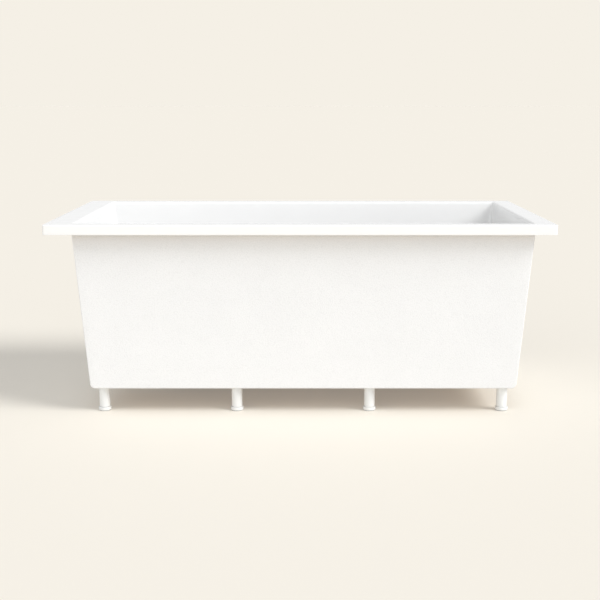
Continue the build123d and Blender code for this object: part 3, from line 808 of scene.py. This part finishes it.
def shader_nodes(name):
    """A new material with its Principled shader and object coordinates."""
    material = bpy.data.materials.new(name)
    material.use_nodes = True
    nodes = material.node_tree.nodes
    shader = nodes["Principled BSDF"]
    coordinates = nodes.new("ShaderNodeTexCoord")
    return material, nodes, material.node_tree.links, shader, coordinates.outputs["Object"]


def add_noise(nodes, links, vector, scale, detail=3.0, roughness=0.55, stretch=(1, 1, 1)):
    """A noise pattern at a scale in cycles per metre, stretched along the axes."""
    mapping = nodes.new("ShaderNodeMapping")
    mapping.inputs["Scale"].default_value = stretch
    links.new(vector, mapping.inputs["Vector"])
    texture = nodes.new("ShaderNodeTexNoise")
    texture.inputs["Scale"].default_value = scale
    texture.inputs["Detail"].default_value = detail
    texture.inputs["Roughness"].default_value = roughness
    links.new(mapping.outputs["Vector"], texture.inputs["Vector"])
    return texture.outputs["Fac"]


def add_range(nodes, links, value, low, high, start=0.3, end=0.7):
    """Remap a pattern's middle values to a range."""
    remap = nodes.new("ShaderNodeMapRange")
    remap.inputs["From Min"].default_value = start
    remap.inputs["From Max"].default_value = end
    remap.inputs["To Min"].default_value = low
    remap.inputs["To Max"].default_value = high
    links.new(value, remap.inputs["Value"])
    return remap.outputs["Result"]


def add_ramp(nodes, links, value, stops):
    """Colour a pattern by (position, colour) stops."""
    ramp = nodes.new("ShaderNodeValToRGB")
    elements = ramp.color_ramp.elements
    while len(elements) < len(stops):
        elements.new(0.5)
    for element, (position, colour) in zip(elements, stops):
        element.position = position
        element.color = (*colour, 1)
    links.new(value, ramp.inputs["Fac"])
    return ramp.outputs["Color"]


def add_bump(nodes, links, height, distance, strength=1.0, before=None):
    """A bump of a pattern's height, in metres."""
    bump = nodes.new("ShaderNodeBump")
    bump.inputs["Distance"].default_value = distance
    bump.inputs["Strength"].default_value = strength
    links.new(height, bump.inputs["Height"])
    if before is not None:
        links.new(before, bump.inputs["Normal"])
    return bump.outputs["Normal"]


def acrylic():
    """White sanitary acrylic: glossy, with a faint ripple, fine wiping marks and warm and cool patches."""
    material, nodes, links, shader, place = shader_nodes("acrylic")
    patches = add_noise(nodes, links, place, scale=4.0, detail=2.0)
    colour = add_ramp(nodes, links, patches, [(0.35, (0.865, 0.868, 0.868)), (0.65, (0.875, 0.878, 0.877))])
    links.new(colour, shader.inputs["Base Color"])
    wipes = add_noise(nodes, links, place, scale=60.0, detail=5.0, roughness=0.6, stretch=(0.12, 1.0, 1.0))
    links.new(add_range(nodes, links, wipes, low=0.17, high=0.22), shader.inputs["Roughness"])
    ripple = add_noise(nodes, links, place, scale=55.0, detail=1.0)
    pores = add_noise(nodes, links, place, scale=900.0, detail=2.0)
    normal = add_bump(nodes, links, ripple, distance=0.05 * MM, strength=0.35)
    normal = add_bump(nodes, links, pores, distance=0.01 * MM, strength=0.3, before=normal)
    links.new(normal, shader.inputs["Normal"])
    shader.inputs["Coat Weight"].default_value = 0.35
    shader.inputs["Coat Roughness"].default_value = 0.08
    shader.inputs["IOR"].default_value = 1.49
    return material


def laminate():
    """White sprayed laminate: a matt pebbled stipple over slow waves, with painted shade making it slightly
    darker in its hollows.
    """
    material, nodes, links, shader, place = shader_nodes("laminate")
    clouds = add_noise(nodes, links, place, scale=7.0, detail=4.0)
    colour = add_ramp(nodes, links, clouds, [(0.3, (0.828, 0.836, 0.848)), (0.7, (0.846, 0.854, 0.866))])
    pebbles = nodes.new("ShaderNodeTexVoronoi")
    pebbles.feature = "SMOOTH_F1"
    pebbles.inputs["Scale"].default_value = 330.0
    pebbles.inputs["Smoothness"].default_value = 0.6
    pebbles.inputs["Randomness"].default_value = 1.0
    links.new(place, pebbles.inputs["Vector"])
    stipple = pebbles.outputs["Distance"]
    # Painted shade: the base colour is multiplied down in the stipple's hollows, where the bump sinks in.
    painted_hollow_shade = add_range(nodes, links, stipple, low=1.0, high=0.93, start=0.2, end=0.9)
    tint = nodes.new("ShaderNodeMix")
    tint.data_type = "RGBA"
    tint.blend_type = "MULTIPLY"
    tint.inputs["Factor"].default_value = 1.0
    links.new(colour, tint.inputs["A"])
    links.new(painted_hollow_shade, tint.inputs["B"])
    links.new(tint.outputs["Result"], shader.inputs["Base Color"])
    grain = add_noise(nodes, links, place, scale=420.0, detail=3.0, roughness=0.6)
    links.new(add_range(nodes, links, clouds, low=0.50, high=0.62), shader.inputs["Roughness"])
    waves = add_noise(nodes, links, place, scale=40.0, detail=2.0)
    normal = add_bump(nodes, links, waves, distance=0.35 * MM, strength=0.30)
    normal = add_bump(nodes, links, stipple, distance=-0.35 * MM, strength=0.55, before=normal)
    normal = add_bump(nodes, links, grain, distance=0.20 * MM, strength=0.45, before=normal)
    links.new(normal, shader.inputs["Normal"])
    shader.inputs["Specular IOR Level"].default_value = 0.4
    return material


def moulded(name, low, high, rough=(0.38, 0.5), bump=0.03 * MM):
    """Moulded plastic or rubber: a soft colour drift, a fine satin grain and uneven sheen."""
    material, nodes, links, shader, place = shader_nodes(name)
    drift = add_noise(nodes, links, place, scale=18.0, detail=3.0)
    links.new(add_ramp(nodes, links, drift, [(0.35, low), (0.65, high)]), shader.inputs["Base Color"])
    sheen = add_noise(nodes, links, place, scale=90.0, detail=4.0)
    links.new(add_range(nodes, links, sheen, *rough), shader.inputs["Roughness"])
    grain = add_noise(nodes, links, place, scale=500.0, detail=3.0)
    links.new(add_bump(nodes, links, grain, distance=bump, strength=0.6), shader.inputs["Normal"])
    return material


def metal(name, low, high, rough, stretch=(1, 1, 1), scale=300.0):
    """Plated or turned metal: faint streaks in its roughness and colour."""
    material, nodes, links, shader, place = shader_nodes(name)
    streaks = add_noise(nodes, links, place, scale, detail=4.0, roughness=0.6, stretch=stretch)
    links.new(add_ramp(nodes, links, streaks, [(0.3, low), (0.7, high)]), shader.inputs["Base Color"])
    links.new(add_range(nodes, links, streaks, *rough), shader.inputs["Roughness"])
    links.new(add_bump(nodes, links, streaks, distance=0.004 * MM, strength=0.5), shader.inputs["Normal"])
    shader.inputs["Metallic"].default_value = 1.0
    return material


def chipboard():
    """Pressed chips of several browns under a thin uneven coat of resin."""
    material, nodes, links, shader, place = shader_nodes("chipboard")
    chips = nodes.new("ShaderNodeTexVoronoi")
    chips.inputs["Scale"].default_value = 260.0
    mapping = nodes.new("ShaderNodeMapping")
    mapping.inputs["Scale"].default_value = (1.0, 0.45, 1.0)
    links.new(place, mapping.inputs["Vector"])
    links.new(mapping.outputs["Vector"], chips.inputs["Vector"])
    shade = nodes.new("ShaderNodeSeparateColor")
    links.new(chips.outputs["Color"], shade.inputs["Color"])
    browns = [(0.0, (0.33, 0.22, 0.12)), (0.45, (0.52, 0.38, 0.22)), (1.0, (0.66, 0.52, 0.33))]
    links.new(add_ramp(nodes, links, shade.outputs["Red"], browns), shader.inputs["Base Color"])
    resin = add_noise(nodes, links, place, scale=16.0, detail=4.0)
    links.new(add_range(nodes, links, resin, low=0.35, high=0.75), shader.inputs["Roughness"])
    relief = add_bump(nodes, links, shade.outputs["Green"], distance=0.15 * MM, strength=0.6)
    links.new(relief, shader.inputs["Normal"])
    return material


def timber():
    """Sawn softwood with grain lines along its length."""
    material, nodes, links, shader, place = shader_nodes("timber")
    grain = add_noise(nodes, links, place, scale=130.0, detail=5.0, roughness=0.6, stretch=(0.03, 1.0, 1.0))
    browns = [(0.3, (0.46, 0.31, 0.17)), (0.5, (0.63, 0.46, 0.28)), (0.7, (0.70, 0.54, 0.35))]
    links.new(add_ramp(nodes, links, grain, browns), shader.inputs["Base Color"])
    links.new(add_range(nodes, links, grain, low=0.6, high=0.8), shader.inputs["Roughness"])
    links.new(add_bump(nodes, links, grain, distance=0.25 * MM, strength=0.6), shader.inputs["Normal"])
    return material


def make_materials():
    """One material for each of the record's slots."""
    soft = {"bump": 0.06 * MM}
    return {
        "acrylic": acrylic(),
        "laminate": laminate(),
        "chipboard": chipboard(),
        "timber": timber(),
        "leg_plastic": moulded("leg_plastic", (0.78, 0.79, 0.79), (0.83, 0.84, 0.83)),
        "foot_rubber": moulded("foot_rubber", (0.42, 0.42, 0.41), (0.5, 0.5, 0.49), (0.65, 0.8), **soft),
        "steel": metal("steel", (0.5, 0.5, 0.51), (0.62, 0.62, 0.62), (0.25, 0.42)),
        "brass": metal("brass", (0.62, 0.45, 0.2), (0.72, 0.55, 0.28), (0.2, 0.4), stretch=(1, 1, 6)),
        "chrome": metal("chrome", (0.78, 0.78, 0.8), (0.84, 0.84, 0.85), (0.04, 0.11), scale=120.0),
        "seal_rubber": moulded("seal_rubber", (0.018, 0.018, 0.018), (0.03, 0.03, 0.03), (0.5, 0.7), **soft),
        "pipe_plastic": moulded("pipe_plastic", (0.72, 0.73, 0.72), (0.78, 0.785, 0.78), (0.3, 0.45)),
        "outlet_plastic": moulded("outlet_plastic", (0.33, 0.34, 0.35), (0.38, 0.39, 0.40), (0.35, 0.5)),
        "hose_plastic": moulded("hose_plastic", (0.68, 0.69, 0.67), (0.74, 0.75, 0.73), (0.35, 0.5)),
        "cable_sheath": moulded("cable_sheath", (0.02, 0.02, 0.02), (0.035, 0.035, 0.035), (0.4, 0.55)),
    }


def dress_cad_nodes(materials):
    """Give every carried-over CAD node its slot's material."""
    slots = {part["node"]: part["material_slot"] for part in frame["record"]["subparts"]}
    for name, node in frame["nodes"].items():
        node.data.materials.clear()
        node.data.materials.append(materials[slots[name]])


# ---------------------------------------------------------------- stage, light and camera


def stage():
    """A plain pale floor, with a faint glow of its own, that meets a background of the same tone."""
    mesh = bpy.data.meshes.new("floor")
    corners = [(-FLOOR_REACH, -FLOOR_REACH), (FLOOR_REACH, -FLOOR_REACH)]
    corners += [(FLOOR_REACH, FLOOR_REACH), (-FLOOR_REACH, FLOOR_REACH)]
    mesh.from_pydata([(x, y, 0) for x, y in corners], [], [(0, 1, 2, 3)])
    floor = bpy.data.objects.new("floor", mesh)
    bpy.context.scene.collection.objects.link(floor)
    material = bpy.data.materials.new("floor")
    material.use_nodes = True
    shader = material.node_tree.nodes["Principled BSDF"]
    light_on_floor = EVEN_LIGHT + FRONT_LIGHT * FRONT_ON_FLOOR + SUN_ON_FLOOR
    tint = [(seen - FLOOR_GLOW * glow) / light_on_floor for seen, glow in zip(BACKDROP, GLOW_COLOUR)]
    shader.inputs["Base Color"].default_value = (*tint, 1)
    shader.inputs["Emission Color"].default_value = (*GLOW_COLOUR, 1)
    shader.inputs["Emission Strength"].default_value = FLOOR_GLOW
    shader.inputs["Roughness"].default_value = 1.0
    shader.inputs["Specular IOR Level"].default_value = 0.0
    mesh.materials.append(material)


def studio_world():
    """The backdrop's colour for the camera, an even room in mirrors, and light mostly from the front."""
    world = bpy.data.worlds.new("studio")
    bpy.context.scene.world = world
    world.use_nodes = True
    nodes = world.node_tree.nodes
    links = world.node_tree.links
    backdrop = nodes["Background"]
    backdrop.inputs["Color"].default_value = (*BACKDROP, 1)
    backdrop.inputs["Strength"].default_value = 1.0
    coordinates = nodes.new("ShaderNodeTexCoord")
    facing = nodes.new("ShaderNodeVectorMath")
    facing.operation = "DOT_PRODUCT"
    facing.inputs[1].default_value = FRONT_DIRECTION.normalized()
    links.new(coordinates.outputs["Generated"], facing.inputs[0])
    front = nodes.new("ShaderNodeMapRange")
    front.inputs["To Min"].default_value = EVEN_LIGHT
    front.inputs["To Max"].default_value = EVEN_LIGHT + FRONT_LIGHT
    links.new(facing.outputs["Value"], front.inputs["Value"])
    even = nodes.new("ShaderNodeBackground")
    even.inputs["Color"].default_value = (1, 1, 1, 1)
    path = nodes.new("ShaderNodeLightPath")
    strength = nodes.new("ShaderNodeMix")
    strength.inputs["B"].default_value = MIRRORED_ROOM
    links.new(path.outputs["Is Glossy Ray"], strength.inputs["Factor"])
    links.new(front.outputs["Result"], strength.inputs["A"])
    links.new(strength.outputs["Result"], even.inputs["Strength"])
    mix = nodes.new("ShaderNodeMixShader")
    links.new(path.outputs["Is Camera Ray"], mix.inputs["Fac"])
    links.new(even.outputs["Background"], mix.inputs[1])
    links.new(backdrop.outputs["Background"], mix.inputs[2])
    links.new(mix.outputs["Shader"], nodes["World Output"].inputs["Surface"])


def lights():
    """One soft distant light from the right, above and a little in front."""
    data = bpy.data.lights.new("key", "SUN")
    data.energy = SUN_ON_FLOOR * pi / SUN_DIRECTION.normalized().z
    data.angle = radians(SUN_ANGLE)
    light = bpy.data.objects.new("key", data)
    bpy.context.scene.collection.objects.link(light)
    light.rotation_euler = (-SUN_DIRECTION).to_track_quat("-Z", "Y").to_euler()


def camera():
    """The photograph's view: from the front, a little above the rim, looking slightly down."""
    distance = 3.2375
    rise = 0.355
    pitch = 10.09
    data = bpy.data.cameras.new("camera")
    data.sensor_width = 36
    data.lens = 67.18
    view = bpy.data.objects.new("camera", data)
    bpy.context.scene.collection.objects.link(view)
    view.location = (0, -HALF_WIDTH - distance, RIM_TOP + rise)
    view.rotation_euler = (radians(90 - pitch), 0, 0)
    bpy.context.scene.camera = view


bpy.context.scene.view_settings.view_transform = "Standard"
camera()
lights()
stage()
studio_world()
MATERIALS = make_materials()
dress_cad_nodes(MATERIALS)
tub_shell(MATERIALS["acrylic"])
tub_laminate(MATERIALS["laminate"])
legs(MATERIALS)
plug_cap(MATERIALS["chrome"])
overflow_knob(MATERIALS["chrome"])
overflow_hose(MATERIALS["hose_plastic"])
